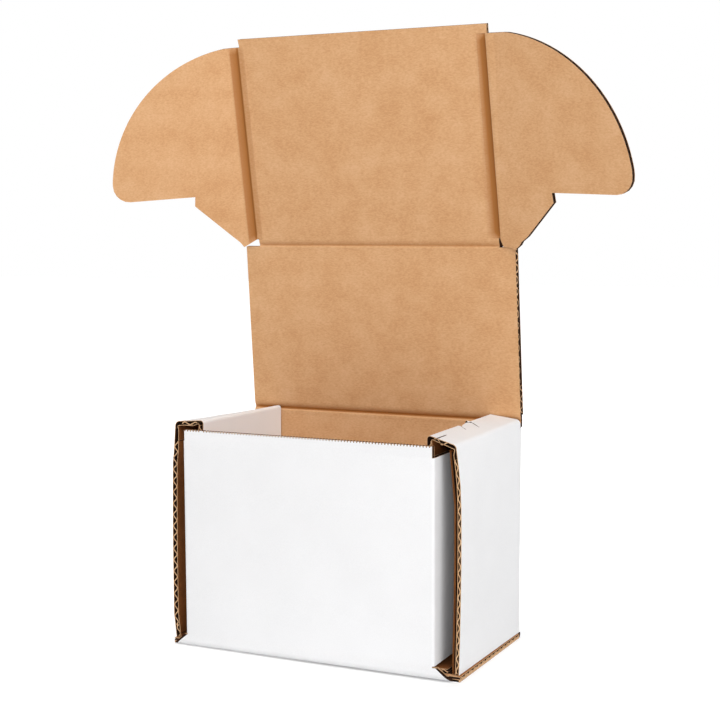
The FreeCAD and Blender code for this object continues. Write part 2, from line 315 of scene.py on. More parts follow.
def wave(path, swing=SWING, phase=0.0):
    """Points of a wave that runs along a line."""
    points = []
    run = 0.0
    for here, there in zip(path, path[1:]):
        here, there = Vector(here), Vector(there)
        length = (there - here).length
        along = (there - here) / length
        side = Vector((-along.y, along.x))
        count = max(2, round(length / FLUTE * PER_FLUTE))
        for k in range(count + (there == Vector(path[-1]))):
            at = length * k / count
            lift = swing * math.sin(math.tau * (run + at) / FLUTE + phase)
            points.append(here + along * at + side * lift)
        run += length
    return points


def in_xz(points, y, side=1):
    """Points seen from the front, set at y; side -1 mirrors them to the left."""
    return [Vector((side * p[0], y, p[1])) for p in points]


def in_yz(points, x):
    """Points seen from the side, set at x."""
    return [Vector((x, p[0], p[1])) for p in points]


def in_xy(points, z):
    """Points seen from above, set at z."""
    return [Vector((p[0], p[1], z)) for p in points]


# ---- finishes
def linear(code):
    """An sRGB hex colour as linear RGBA."""
    parts = [int(code[i:i + 2], 16) / 255 for i in (0, 2, 4)]
    return [c / 12.92 if c <= 0.04045 else ((c + 0.055) / 1.055) ** 2.4 for c in parts] + [1.0]


def add(tree, kind, links=None, **settings):
    """A node with its settings, and links from input names to (node, output name)."""
    node = tree.nodes.new(kind)
    for name, value in settings.items():
        if name in node.inputs:
            node.inputs[name].default_value = value
        elif name.startswith("in_"):
            node.inputs[int(name[3:])].default_value = value
        else:
            setattr(node, name, value)
    for name, (source, output) in (links or {}).items():
        tree.links.new(source.outputs[output], node.inputs[name])
    return node


def new_finish(name, roughness, specular):
    """A material, its node tree and its shader."""
    finish = bpy.data.materials.new(name)
    finish.use_nodes = True
    shader = finish.node_tree.nodes["Principled BSDF"]
    shader.inputs["Roughness"].default_value = roughness
    shader.inputs["Specular IOR Level"].default_value = specular
    return finish, finish.node_tree, shader


def paper(name, colour, dark, light, fibre_mm, cloud_mm, roughness, relief,
          stretch=(1, 1, 1), crush_and_shade_tones=None):
    """Uncoated liner: short fibres a fraction of a millimetre wide, lying mostly along the
    mill's direction, over soft clouds of lighter and darker stock. Where the crush_and_shade
    attribute is above nothing it turns to the two darker tones, for the rule's crushing and painted
    shade."""
    specular, fibre_height = 0.25, 0.05 * MM
    fibre_share, cloud_share = 0.6, 0.4
    darkest, lightest = 0.36, 0.64      # the range that the mixed noise mostly keeps to
    crush_and_shade_gain = 2.1                    # at half the crush_and_shade value the darker tone already shows fully
    darker_from = 0.45                  # above this value it nears the darker colour
    finish, tree, shader = new_finish(name, roughness, specular)
    place = add(tree, "ShaderNodeTexCoord")
    turned = add(tree, "ShaderNodeMapping", {"Vector": (place, "Object")}, Scale=stretch)
    fibres = add(tree, "ShaderNodeTexNoise", {"Vector": (turned, "Vector")},
                 Scale=1 / (fibre_mm * MM), Detail=3.0, Roughness=0.6)
    clouds = add(tree, "ShaderNodeTexNoise", {"Vector": (place, "Object")},
                 Scale=1 / (cloud_mm * MM), Detail=4.0, Roughness=0.55)
    grain = add(tree, "ShaderNodeMath", {0: (fibres, "Fac")}, operation="MULTIPLY",
                in_1=fibre_share)
    both = add(tree, "ShaderNodeMath", {0: (clouds, "Fac"), 2: (grain, "Value")},
               operation="MULTIPLY_ADD", in_1=cloud_share)
    ramp = add(tree, "ShaderNodeValToRGB", {"Fac": (both, "Value")})
    ramp.color_ramp.elements[0].position = darkest
    ramp.color_ramp.elements[0].color = linear(dark)
    ramp.color_ramp.elements[1].position = lightest
    ramp.color_ramp.elements[1].color = linear(light)
    middle = ramp.color_ramp.elements.new(0.5)
    middle.color = linear(colour)
    shown = (ramp, "Color")
    if crush_and_shade_tones:
        crush_and_shade = add(tree, "ShaderNodeAttribute", attribute_name="crush_and_shade")
        share = add(tree, "ShaderNodeMath", {0: (crush_and_shade, "Fac")}, operation="MULTIPLY",
                    in_1=crush_and_shade_gain, use_clamp=True)
        tone = add(tree, "ShaderNodeValToRGB", {"Fac": (crush_and_shade, "Fac")})
        tone.color_ramp.elements[0].position = darker_from
        tone.color_ramp.elements[0].color = linear(crush_and_shade_tones[0])
        tone.color_ramp.elements[1].color = linear(crush_and_shade_tones[1])
        shown = (add(tree, "ShaderNodeMix", {0: (share, "Value"), 6: shown, 7: (tone, "Color")},
                     data_type="RGBA"), 2)
    tree.links.new(shown[0].outputs[shown[1]], shader.inputs["Base Color"])
    bump = add(tree, "ShaderNodeBump", {"Height": (fibres, "Fac")}, Strength=relief,
               Distance=fibre_height)
    tree.links.new(bump.outputs["Normal"], shader.inputs["Normal"])
    return finish


# Bleached top liner: dense, matte and cool white, with only the faintest mottling.
WHITE = paper("bleached_liner", "EFEFF0", "ECECED", "F2F2F3", 0.5, 30, 0.55, 0.15)
# Natural kraft liner: golden brown, its fibres lying across the box.
# Along creases it turns darker by the crush_and_shade attribute: partly the rule's crushing, partly
# painted shade on the facets that turn from the light and in the valleys.
KRAFT = paper("kraft_liner", "D5A475", "CB9767", "DDAF83", 0.7, 14, 0.7, 0.3, (0.45, 1, 1),
              crush_and_shade_tones=("A36730", "84501C"))
# Fluting and the backs of the liners: brown stock, painted nearly black as the shade inside the
# board.
SHADED_INSIDE = paper("board_inside_painted_shade", "341C0C", "2A160A", "402410", 0.6, 8, 0.85, 0.3)
# Kraft inside the hollow side walls, painted dark for the shade in there.
SHADED_HOLLOW_KRAFT = paper("hollow_wall_kraft_painted_shade", "7E4A20", "70401A", "8C5528", 0.7, 12, 0.8, 0.3)
# Die-cut edge of the stock, where the fibres are torn open and pale.
CUT_EDGE = paper("cut_board_edge", "D2A87E", "C0936A", "E0BA94", 0.5, 5, 0.85, 0.4)


# ---- board
def liner(name, path, steps, out, face):
    """One liner: a line drawn through path, pulled to a sheet and given its thickness."""
    sheet = pull(trace(name, path), *steps)
    face_out(sheet, out)
    finish_with(sheet, face, SHADED_INSIDE, CUT_EDGE)
    return thicken(sheet, LINER)


def fluting(name, path, steps):
    """The waved medium, pulled along its flutes."""
    sheet = pull(trace(name, path), *steps)
    finish_with(sheet, SHADED_INSIDE, SHADED_INSIDE, CUT_EDGE)
    return thicken(sheet, MEDIUM)


def card(name, outline, y, out, face):
    """A flat liner cut to an outline in the XZ plane, its middle at y."""
    sheet = trace(name, in_xz(outline, y), closed=True)
    face_out(sheet, out)
    finish_with(sheet, face, SHADED_INSIDE, CUT_EDGE)
    return thicken(sheet, LINER)


# Kraft side of a crease: distance across it, depth, and how dark it is drawn there, for the rule's
# crushing together with painted shade on the sloping side and in the valley. One side slopes in to
# the bottom, the other stands up sharply.
EAR_CREASES = {
    -1: [(-6.4, 0.0, 0.0), (-5.8, 0.02, 0.1), (-5.2, 0.08, 0.36), (-3.6, 0.24, 0.42),
         (-2.3, 0.4, 0.46), (-1.7, 0.47, 0.62), (-1.3, 0.54, 0.95), (-0.9, 0.45, 0.85),
         (-0.5, 0.2, 0.3), (-0.1, 0.0, 0.18), (1.4, -0.05, 0.18), (2.4, -0.02, 0.14),
         (3.0, 0.0, 0.0), (4.0, 0.0, 0.0)],
    1: [(-7.4, 0.0, 0.0), (-6.2, 0.01, 0.06), (-5.0, 0.06, 0.14), (-3.9, 0.14, 0.26),
        (-2.6, 0.26, 0.42), (-1.4, 0.36, 0.56), (-0.5, 0.42, 0.72), (0.1, 0.42, 0.8),
        (0.5, 0.15, 0.4), (0.9, 0.0, 0.0), (2.4, -0.05, 0.0), (4.0, 0.0, 0.0)]}
LID_CREASE = [(-5.0, 0.0, 0.0), (-3.6, 0.05, 0.06), (-2.4, 0.2, 0.16), (-1.4, 0.45, 0.3),
              (-0.6, 0.75, 0.5), (-0.1, 0.9, 0.66), (0.4, 0.7, 0.4), (0.9, 0.15, 0.0),
              (1.4, -0.1, 0.0), (2.4, -0.12, 0.0), (3.4, -0.03, 0.0), (4.0, 0.0, 0.0)]


def crease(name, profile, length, narrow, flip=1):
    """Crushed board along a crease, flat: x along it, y through the board, z across it.

    narrow is the share of the profile's width that it has, and flip -1 turns it upside down."""
    shape = [(flip * s * narrow, d, c) for s, d, c in profile]
    low, high = sorted((shape[0][0], shape[-1][0]))
    if flip < 0:
        shape.reverse()
    bend = 1.1        # the white face bends within this distance of the fold
    fade = 3.5        # length at each end over which the darker tone fades
    end_tone = 0.4    # share of that tone left at the ends
    white = [(high, LINER), (CREASE_SPAN, BOARD - LINER), (CREASE_SPAN, BOARD), (bend, BOARD),
             (0, BOARD), (-bend, BOARD), (-CREASE_SPAN, BOARD), (-CREASE_SPAN, BOARD - LINER),
             (low, LINER)]
    section = [(d, s) for s, d, c in shape] + [(d, s) for s, d in white]
    bar = solid(name, in_yz(section, -length / 2),
                (fade, 0, 0), (length - 2 * fade, 0, 0), (fade, 0, 0))
    finish_with(bar, KRAFT, WHITE, SHADED_INSIDE)
    for face in bar.data.polygons:
        if abs(face.normal.x) > 0.9:
            face.material_index = 2
        elif face.center.y > (BOARD - 0.05) * MM:
            face.material_index = 1
    # The crush_and_shade attribute darkens the kraft across the groove: the rule's crushing, and
    # painted shade on the facet turned from the light and in the valley.
    crush_and_shade = bar.data.attributes.new("crush_and_shade", "FLOAT", "POINT")
    kraft_side = BOARD - LINER - 0.1
    for corner in bar.data.vertices:
        along, depth, place = corner.co / MM
        if depth < kraft_side:
            nearest = min(shape, key=lambda p: abs(p[0] - place))
            at_end = abs(along) > length / 2 - 1
            crush_and_shade.data[corner.index].value = nearest[2] * (end_tone if at_end else 1.0)
    return bar


def bend_up(obj, degrees):
    """Turn what is above the crease about the crease's kraft face."""
    edit(obj, lambda p: p.z > 0.01)
    bpy.ops.transform.rotate(value=-math.radians(degrees), orient_axis="X",
                             center_override=(0, 0, 0))
    deselect()


# ---- tray
def make_side_wall(side, board, lies_off, bulge, spread, tuck_in, back_out, setback):
    """Rolled wall: outer, top, inner, bottom and return panels, with their flutes along Y.

    board is the thickness left in the outer panel, which bulges by bulge, and lies_off the
    distance of the return panel from it, which starts setback behind the wall's front edge.
    spread and back_out are how far the wall's front and rear ends stand out from the tray, and
    tuck_in how far its top leans inwards at the front. Gives back the two faces, the return
    panel's sheets and the waved mediums: of the outer, the top, the inner and the bottom panel."""
    word = "left" if side < 0 else "right"
    long = RING_BACK - WALL_FRONT
    sections = 6
    deep = [(0, long / sections, 0)] * sections
    fold_top, shoulder_top = 119.45, 117.35      # the top panel slopes down to its shoulder
    bottom, inner_kraft, return_top = 3.35, 66.85, 113.6

    def outer(z):
        """Distance of the outer panel's white face from the middle of the box."""
        bulging = bulge * math.sin(math.pi * (z - 3) / 112)
        leaning = tuck_in * max(0, (z - 90) / 27) ** 1.6
        return OUTER_FACE + bulging - leaning

    rises = [3.3, 16, 30, 44, 58, 72, 86, 98, 106]
    shoulder = outer(117.2)
    white = rounded([(outer(z) - PLY, z) for z in rises]
                    + [(shoulder - PLY, shoulder_top, 2.6), (INNER_FACE + PLY, fold_top, 1.6),
                       (INNER_FACE + PLY, bottom, 2.3), (77.5, bottom)])
    kraft = rounded([(outer(z) - board + PLY, z) for z in rises]
                    + [(shoulder - board + 0.8, 112.4, 2.0), (shoulder - board + 1.4, 115.2, 0.5),
                       (76.0 - tuck_in / 2, 115.7, 2.0), (70.3, 116.3, 2.0), (66.6, 117.7, 0.5),
                       (inner_kraft, 113.6, 1.0), (inner_kraft, 5.65, 0.5), (75.4, 5.65)])
    # The return panel is pressed thin and has sprung a little off the outer panel.
    gap = lies_off + board
    back = rounded([(outer(3.6) - gap, 3.6), (outer(5) - gap, 5.0, 1.0),
                    *((outer(z) - gap - 0.3, z) for z in (10, 35, 60, 88)),
                    (outer(return_top) - gap - 0.5, return_top)])
    faces = [
        liner(f"{word}_white", in_xz(white, WALL_FRONT, side), deep, (-side, 0, 0), WHITE),
        liner(f"{word}_kraft", in_xz(kraft, WALL_FRONT, side), deep, (side, 0, 0), SHADED_HOLLOW_KRAFT)]
    returns = []
    return_steps = 1 if side < 0 else sections
    return_deep = [(0, (long - setback) / return_steps, 0)] * return_steps
    # Both faces of the return panel, its white one too, take the dark painted-shade finishes, as
    # the shade of the narrow slot.
    for shift, face in ((-0.3, SHADED_HOLLOW_KRAFT), (0.3, SHADED_INSIDE)):
        run = in_xz([(p.x + shift, p.y) for p in back], WALL_FRONT + setback, side)
        sheet = liner(f"{word}_return", run, return_deep, (side, 0, 0), face)
        # Its cut edges too take the kraft painted dark for shade.
        sheet.data.materials[2] = SHADED_HOLLOW_KRAFT
        returns.append(sheet)
    swing = (board - 2 * LINER) / 2 - 0.15
    mediums = []
    for number, (run, height) in enumerate((
            ([(outer(z) - board / 2, z) for z in (3.9, 16, 30, 44, 58, 72, 86, 98, 110.5)], swing),
            ([(68.0, 117.6), (shoulder - 4.4, 116.6)], 0.75),
            ([(INNER_FACE + BOARD / 2, 116.6), (INNER_FACE + BOARD / 2, 6.4)], SWING),
            ([(67.2, 4.5), (75.6, 4.5)], 0.8))):
        run = wave(run, height, 0.4 * number)
        mediums.append(fluting(f"{word}_fluting_{number}", in_xz(run, WALL_FRONT, side), deep))
    parts = faces + returns + mediums

    front_lift, rear_lift = WALL_LIFT[side]
    for part in parts:
        for station in range(sections + 1):
            share = station / sections
            place = WALL_FRONT + long * share

            def at_station(p):
                return abs(p.y - place) < 0.9

            # The outer panel stands out a little, and towards the back its top is upright.
            out = spread + (back_out - spread) * share
            upright = share * tuck_in / 4
            for low, far in ((0, out), (95, upright), (102, upright), (109, upright),
                             (113, upright)):
                if far:
                    nudge(part, (side * far, 0, 0),
                          lambda p: at_station(p) and side * p.x > 75 and p.z > low)
            # The top has sprung up, by a different amount at its inner fold and its shoulder.
            fold_lift, shoulder_lift = (f + (r - f) * share for f, r in zip(front_lift, rear_lift))
            half_change = (shoulder_lift - fold_lift) / 2
            for reach, lift in ((63, fold_lift), (71, half_change), (76.5, half_change)):
                nudge(part, (0, 0, lift),
                      lambda p: at_station(p) and side * p.x > reach and p.z > 112)
    return faces, returns, mediums


def lean_in(parts):
    """The left wall's front end: its foot and its top lean towards the tray."""
    for part in parts:
        nudge(part, (1.3, 0, 0), lambda p: p.x < -75 and p.y < 0 and p.z < 10)
        for low in (104, 110):
            nudge(part, (0.7, 0, 0), lambda p: p.x < -76 and p.y < 0 and p.z > low)


def cut_lock(parts, top_medium):
    """The lock notch in the right wall's inner fold, and the slit on each side of it."""
    front, length, depth = -3.6, 10.9, 3.3
    rear = front + length
    edge = INNER_FACE
    notch = [(edge - 1, front), (edge + depth, front), (edge, rear), (edge - 1, rear)]
    front_slit = [(edge + depth - 0.3, front - 0.2), (edge + depth + 4.0, front - 4.7),
                  (edge + depth + 4.2, front - 4.3), (edge + depth, front + 1.1)]
    rear_slit = [(edge - 0.6, rear - 0.4), (edge + 3.4, rear + 3.0),
                 (edge + 3.5, rear + 3.6), (edge - 0.6, rear + 2.2)]

    def by_lock(p, low, high):
        return p.z > 114 and 63 < p.x < 67.8 and low < p.y < high

    for part in parts:
        for outline in (notch, front_slit, rear_slit):
            knife = solid("lock_knife", in_xy(outline, 114.0), (0, 0, 11))
            # The cut edges take the second material, the board's inside in dark painted shade.
            for face in knife.data.polygons:
                face.material_index = 1
            carve(part, knife, keep=False)
        # The tab between the slits has sunk a little.
        nudge(part, (0, 0, -0.5), lambda p: by_lock(p, -3.1, 7.7))
        # Behind the rear slit the fold has sprung up and shows its cut edge.
        nudge(part, (0, 0, 1.1), lambda p: by_lock(p, 9.2, 11.2) and p.x < 65)
        nudge(part, (0, 0, 0.5), lambda p: by_lock(p, 10.6, 11.2) and p.x >= 65)
    # The fluting under the lock is crushed.
    nudge(top_medium, (0, 0, -1.0), lambda p: -14 < p.y < 16)


def make_back_wall():
    """Back wall, its white face rounded into the side walls' outer panels."""
    half = OUTER_FACE - PLY
    white_back = BACK_FACE - PLY
    kraft_foot, kraft_top = 3.1, CREASE_UP - 3.6
    wave_foot, wave_top, wave_inset = 3.4, 115.3, 1
    corner = 1.6
    around = rounded([(half, RING_BACK), (half, white_back, corner),
                      (-half, white_back, corner), (-half, RING_BACK)])
    middle = BACK_INNER + BOARD / 2
    parts = [
        liner("back_white", in_xy(around, WALL_FOOT),
              [(0, 0, CREASE_UP - CREASE_SPAN - WALL_FOOT)], (0, 1, 0), WHITE),
        liner("back_kraft", in_xz([(-half, kraft_foot), (half, kraft_foot)], BACK_INNER + PLY),
              [(0, 0, kraft_top - kraft_foot)], (0, -1, 0), KRAFT),
        fluting("back_fluting", in_yz(wave([(middle, wave_foot), (middle, wave_top)]),
                                      -half + wave_inset), [(2 * (half - wave_inset), 0, 0)])]
    wall = join("back_wall", parts)
    # Its right end reaches the right wall, which stands out from the tray there.
    nudge(wall, (1.1, 0, 0), lambda p: p.x > 75)
    return wall


def make_base():
    """Base panel, its rear edge rounded up into the back wall."""
    full = 81.2                        # the board keeps its thickness up to here
    lip_in, lip_out = BASE_EDGE - 0.7, BASE_EDGE - 0.05
    white = rounded([(FOOT_FOLD, PLY), (BACK_FACE - PLY, PLY, 2.4), (BACK_FACE - PLY, WALL_FOOT)])
    kraft = [(FOOT_FOLD, BOARD - PLY), (BACK_INNER, BOARD - PLY)]
    wide = [(2 * BASE_EDGE, 0, 0)]
    parts = [
        liner("base_white", in_yz(white, -BASE_EDGE), wide, (0, 0, -1), WHITE),
        liner("base_kraft", in_yz(kraft, -full), [(2 * full, 0, 0)], (0, 0, 1), KRAFT),
        fluting("base_fluting", in_yz(wave([(FOOT_FOLD, 1.45), (BACK_INNER + 1, 1.45)], 0.8),
                                      -BASE_EDGE), wide)]
    parts[0].data.materials[2] = WHITE
    for side in (-1, 1):
        # The two side edges show the die's crushing: an almost closed cut edge, and beside it a
        # kraft ledge drawn at half the darker crease tone.
        ledge = liner("base_ledge", in_yz(kraft, side * full), [(side * (BASE_EDGE - full), 0, 0)],
                      (0, 0, 1), KRAFT)
        crush_and_shade = ledge.data.attributes.new("crush_and_shade", "FLOAT", "POINT")
        for corner in ledge.data.vertices:
            crush_and_shade.data[corner.index].value = 0.5
        lip = solid("crushed_edge", in_xz([(lip_in, 0.2), (lip_out, 0.2), (lip_out, 1.5),
                                           (lip_in, 1.7)], FOOT_FOLD, side),
                    (0, BACK_FACE - 2 - FOOT_FOLD, 0))
        finish_with(lip, CUT_EDGE)
        parts += [ledge, lip]
    base = join("base_panel", parts)
    # The front left corner has been pushed in a little.
    nudge(base, (0.6, 0, 0), lambda p: p.x < -82 and p.y < 0)
    return base


def scored_edge(half, top, deep):
    """The front wall's free edge, from right to left, cut by a rule into many small teeth."""
    count = 82
    teeth = []
    for k in range(count):
        for part, drop in ((0.0, 0), (0.5, 0), (0.62, deep), (0.88, deep)):
            teeth.append((half - (k + part) * 2 * half / count, top - drop))
    return teeth + [(-half, top)]


def make_front_wall():
    """Front wall with the side flaps that fold back along the walls; it leans back a little."""
    flap_end, flap_foot, flap_top = 30.75, 7.8, 111.7
    white_edge, kraft_edge = FLAP_FACE - PLY, FLAP_FACE - BOARD + PLY
    white_front, kraft_front = FRONT_FACE + PLY, FRONT_FACE + BOARD - PLY
    middle = FRONT_FACE + BOARD / 2
    half = FLAP_FACE - 1.1             # flat part of the wall, short of its rounded corners
    white = rounded([(white_edge, flap_end), (white_edge, white_front, 1.5),
                     (-white_edge, white_front, 1.5), (-white_edge, flap_end)])
    kraft = rounded([(kraft_edge, flap_end), (kraft_edge, kraft_front, 0.4),
                     (-kraft_edge, kraft_front, 0.4), (-kraft_edge, flap_end)])
    tall = [(0, 0, flap_top - flap_foot)]
    parts = [liner("front_white", in_xy(white, flap_foot), tall, (0, -1, 0), WHITE),
             liner("front_kraft", in_xy(kraft, flap_foot), tall, (0, 1, 0), KRAFT)]
    for name, y, out, face, deep in (("white", white_front, -1, WHITE, 0.75),
                                     ("kraft", kraft_front, 1, KRAFT, 0.3)):
        upper = [(-half, flap_top), (half, flap_top)] + scored_edge(half, FRONT_TOP, deep)
        lower = [(-half, FOOT_TOP), (half, FOOT_TOP), (half, flap_foot), (-half, flap_foot)]
        parts.append(card(f"front_top_{name}", upper, y, (0, out, 0), face))
        parts.append(card(f"front_low_{name}", lower, y, (0, out, 0), face))
    parts.append(fluting("front_fluting",
                         in_yz(wave([(middle, FOOT_TOP), (middle, FRONT_TOP - 0.5)]), 1 - half),
                         [(2 * half - 2, 0, 0)]))
    for side in (-1, 1):
        x = side * (FLAP_FACE - BOARD / 2)
        run = wave([(x, flap_foot), (x, flap_top)])
        parts.append(fluting("flap_fluting", in_xz(run, FRONT_FACE + BOARD),
                             [(0, flap_end - FRONT_FACE - BOARD, 0)]))
    wall = join("front_wall", parts)
    # Its left edge stands out a little more.
    nudge(wall, (-1.3, 0, 0), lambda p: p.x < -60)
    return put(wall, Matrix.Translation((0, FRONT_FACE, 0))
               @ Matrix.Rotation(math.atan(FRONT_BACK / FRONT_TOP), 4, "X")
               @ Matrix.Translation((0, -FRONT_FACE, 0)))


def make_foot():
    """The front wall's flared foot: the board runs on from the base and turns up."""
    off_table, half, slanted_from = 0.75, 84, 78.6
    slant_out, slant_up = 0.63, 0.77   # which way the slanted cut faces
    white_front, kraft_front = FRONT_FACE + PLY, FRONT_FACE + BOARD - PLY
    middle = FRONT_FACE + BOARD / 2
    wide = [(2 * half, 0, 0)]
    white = rounded([(FOOT_FOLD, PLY + off_table), (white_front, PLY + off_table, 3.4),
                     (white_front, FOOT_TOP)])
    kraft = rounded([(FOOT_FOLD, BOARD - PLY), (kraft_front, BOARD - PLY, 0.8),
                     (kraft_front, FOOT_TOP)])
    medium = rounded([(FOOT_FOLD, 1.8), (middle, 1.8, 1.6), (middle, FOOT_TOP)])
    parts = [liner("foot_white", in_yz(white, -half), wide, (0, -1, 0), WHITE),
             liner("foot_kraft", in_yz(kraft, -half), wide, (0, 1, 0), KRAFT),
             fluting("foot_fluting", in_yz(wave(medium, 0.6), -half), wide)]
    parts[0].data.materials[2] = WHITE
    parts[1].data.materials[1] = CUT_EDGE
    for number, part in enumerate(parts):
        # The slanted cut has torn: the kraft side stands out past the white one.
        for side, torn in ((-1, 1.9), (1, 0.4)):
            reach = slanted_from + (torn if number else 0)
            slice_off(part, (side * reach, 0, 1.3), (side * slant_out, 0, slant_up))
    return join("flared_foot", parts)


# ---- lid, tuck flap and ears, each built flat on its crease and then put in place
LID_AT = Matrix.Translation((0, BACK_INNER, CREASE_UP)) @ Matrix.Rotation(
    math.radians(LID_LEAN), 4, "X")
TUCK_AT = Matrix.Translation(LID_AT @ Vector((0, 0, LID_LONG))) @ Matrix.Rotation(
    math.radians(TUCK_LEAN), 4, "X")


def ear_at(side):
    """Where an ear stands, folded in about its crease on the tuck flap."""
    return (TUCK_AT @ Matrix.Translation((side * EAR_FACE, 0, 0))
            @ Matrix.Rotation(-side * math.radians(EAR_FOLD[side]), 4, "Z"))


def make_lid():
    """Lid panel, with a shoulder at each end of the tuck flap's crease."""
    half = OUTER_FACE - 0.05
    shoulder = LID_LONG - 0.8
    high = LID_LONG - CREASE_SPAN
    kraft_foot = 4.5
    parts = []
    for name, y, low, out, face in (("kraft", PLY, kraft_foot, -1, KRAFT),
                                    ("white", BOARD - PLY, CREASE_SPAN, 1, WHITE)):
        outline = [(-half, low), (half, low), (half, shoulder), (TUCK_EDGE, shoulder),
                   (TUCK_EDGE, high), (-TUCK_EDGE, high), (-TUCK_EDGE, shoulder),
                   (-half, shoulder)]
        parts.append(card(f"lid_{name}", outline, y, (0, out, 0), face))
    medium = fluting("lid_fluting",
                     in_yz(wave([(BOARD / 2, kraft_foot), (BOARD / 2, shoulder - 0.1)]), -half),
                     [(2 * half, 0, 0)])
    carve(medium, block((-EAR_FACE, -1, LID_LONG - 4), (EAR_FACE, 4, LID_LONG + 4)), keep=False)
    parts.append(medium)
    lid = join("lid_panel", parts)
    # The right edge was cut a little askew and on the slant, so that its flutes show in front.
    nudge(lid, (1.2, 0, 0), lambda p: p.x > 70 and p.z < 20)
    nudge(lid, (0.3, 0, 0), lambda p: p.x > 74 and p.z > 80)
    nudge(lid, (0.6, 0, 0), lambda p: p.x > 74 and p.y > 1.2)
    return put(lid, LID_AT)


def crease_reach(side):
    """How far the strip of an ear's crease reaches onto the tuck flap, and onto the ear."""
    ends = sorted(side * row[0] for row in EAR_CREASES[side])
    return -ends[0], ends[-1]


def tuck_side(side, inset, low):
    """One side edge of the tuck flap from low up, cut back by inset along the ear's crease."""
    root, crest = max(EAR_TIPS[side][0][1], low + 0.02), EAR_CREST[side]
    return [(side * a, b) for a, b in (
        (TUCK_EDGE, low), (TUCK_EDGE, root), (EAR_FACE - inset, root),
        (EAR_FACE - inset, crest), (TUCK_EDGE, crest), (TUCK_EDGE, TUCK_TOP))]


def make_tuck_flap():
    """Tuck flap's panel, between the creases of the two ears."""
    kraft_foot = 4.0
    kraft_insets = [crease_reach(side)[0] for side in (-1, 1)]
    parts = []
    for name, y, low, insets, out, face in (
            ("kraft", PLY, kraft_foot, kraft_insets, -1, KRAFT),
            ("white", BOARD - PLY, CREASE_SPAN, (CREASE_SPAN, CREASE_SPAN), 1, WHITE)):
        outline = tuck_side(-1, insets[0], low)[::-1] + tuck_side(1, insets[1], low)
        parts.append(card(f"tuck_{name}", outline, y, (0, out, 0), face))
    medium = fluting("tuck_fluting",
                     in_yz(wave([(BOARD / 2, 4.2), (BOARD / 2, TUCK_TOP - 0.2)]), -TUCK_EDGE),
                     [(2 * TUCK_EDGE, 0, 0)])
    for side in (-1, 1):
        ends = sorted((side * (EAR_FACE - 5), side * (EAR_FACE + 5)))
        carve(medium, block((ends[0], -1, EAR_TIPS[side][0][1]), (ends[1], 4, EAR_CREST[side])),
              keep=False)
    parts.append(medium)
    tuck = join("tuck_panel", parts)
    # The free corner on the left is cut a little wide, and the corner below the right ear slants.
    nudge(tuck, (-0.6, 0, 0), lambda p: p.x < -70 and p.z > TUCK_TOP - 1)
    nudge(tuck, (0.3, 0, 0), lambda p: p.x > 72 and p.z < 5)
    nudge(tuck, (1.7, 0, 0), lambda p: p.x > 72 and p.y > 1.2 and p.z < 5)
    return put(tuck, TUCK_AT)


def ear_root(side, reach):
    """Height of an ear's lower edge at a distance from its crease."""
    for (near, low, *_), (far, high, *_) in zip(EAR_TIPS[side], EAR_TIPS[side][1:]):
        if reach <= far:
            return low + (high - low) * (reach - near) / (far - near)


def ear_outline(side, inset):
    """Ear cut to its shape: tip, slanted edge, step, shoulder and the large round."""
    runs, round_from = 40, 42.0
    centre = Vector((EAR_LONG - EAR_ROUND, EAR_TOP - EAR_ROUND))
    step = EAR_STEP[side]
    tip = [(inset, ear_root(side, inset))] + [p for p in EAR_TIPS[side] if p[0] > inset]
    slanted_to, step_end = (34.3, step - 5.3), (33.6, step)
    shoulder, above_it = (EAR_LONG, step, 9.0), (EAR_LONG - 1.2, 44.0)
    path = rounded(tip + [slanted_to, step_end, shoulder, above_it])[:-1]
    begin = math.asin((round_from - centre.y) / EAR_ROUND)
    finish = math.acos((inset - centre.x) / EAR_ROUND)
    for k in range(runs + 1):
        angle = begin + (finish - begin) * k / runs
        point = centre + EAR_ROUND * Vector((math.cos(angle), math.sin(angle)))
        path.append(Vector((point.x, min(point.y, EAR_CREST[side]))))
    return [(side * p.x, p.y) for p in path]


def make_ear(side, name):
    """One locking ear, from the end of its crease outwards."""
    reach = crease_reach(side)[1]
    parts = []
    for word, y, inset, out, face in (("kraft", PLY, reach, -1, KRAFT),
                                      ("white", BOARD - PLY, CREASE_SPAN, 1, WHITE)):
        parts.append(card(f"{name}_{word}", ear_outline(side, inset), y, (0, out, 0), face))
    medium = fluting(f"{name}_fluting", in_yz(wave([(BOARD / 2, 0.0), (BOARD / 2, 113.0)]), 0.0),
                     [(side * 82, 0, 0)])
    knife = solid("ear_knife", in_xz(ear_outline(side, reach), -1), (0, 5, 0))
    parts.append(carve(medium, knife, keep=True))
    return put(join(name, parts), ear_at(side))


def make_ear_crease(side, name):
    """The strip along an ear's crease, its lower end following the ear's tip."""
    root, crest = EAR_TIPS[side][0][1], EAR_CREST[side]
    bar = crease(name, EAR_CREASES[side], crest - root, narrow=1.0)
    put(bar, Matrix.Rotation(math.radians(90), 4, "Y"))
    put(bar, Matrix.Translation((0, 0, (crest + root) / 2)))
    for reach in sorted({round(side * v.co.x / MM, 3) for v in bar.data.vertices}):
        if reach > 0:
            nudge(bar, (0, 0, ear_root(side, reach) - root),
                  lambda p: abs(side * p.x - reach) < 0.01 and p.z < 50)
    edit(bar, lambda p: side * p.x > 0.01)
    bpy.ops.transform.rotate(value=side * math.radians(EAR_FOLD[side]), orient_axis="Z",
                             center_override=(0, 0, 0))
    deselect()
    if side > 0:
        # The rule ran a little askew: the valley drifts onto the tuck flap towards the top.
        nudge(bar, (-1.9, 0, 0), lambda p: -5.8 < p.x < 3 and p.y < 2 and p.z > 60)
    return put(bar, TUCK_AT @ Matrix.Translation((side * EAR_FACE, 0, 0)))


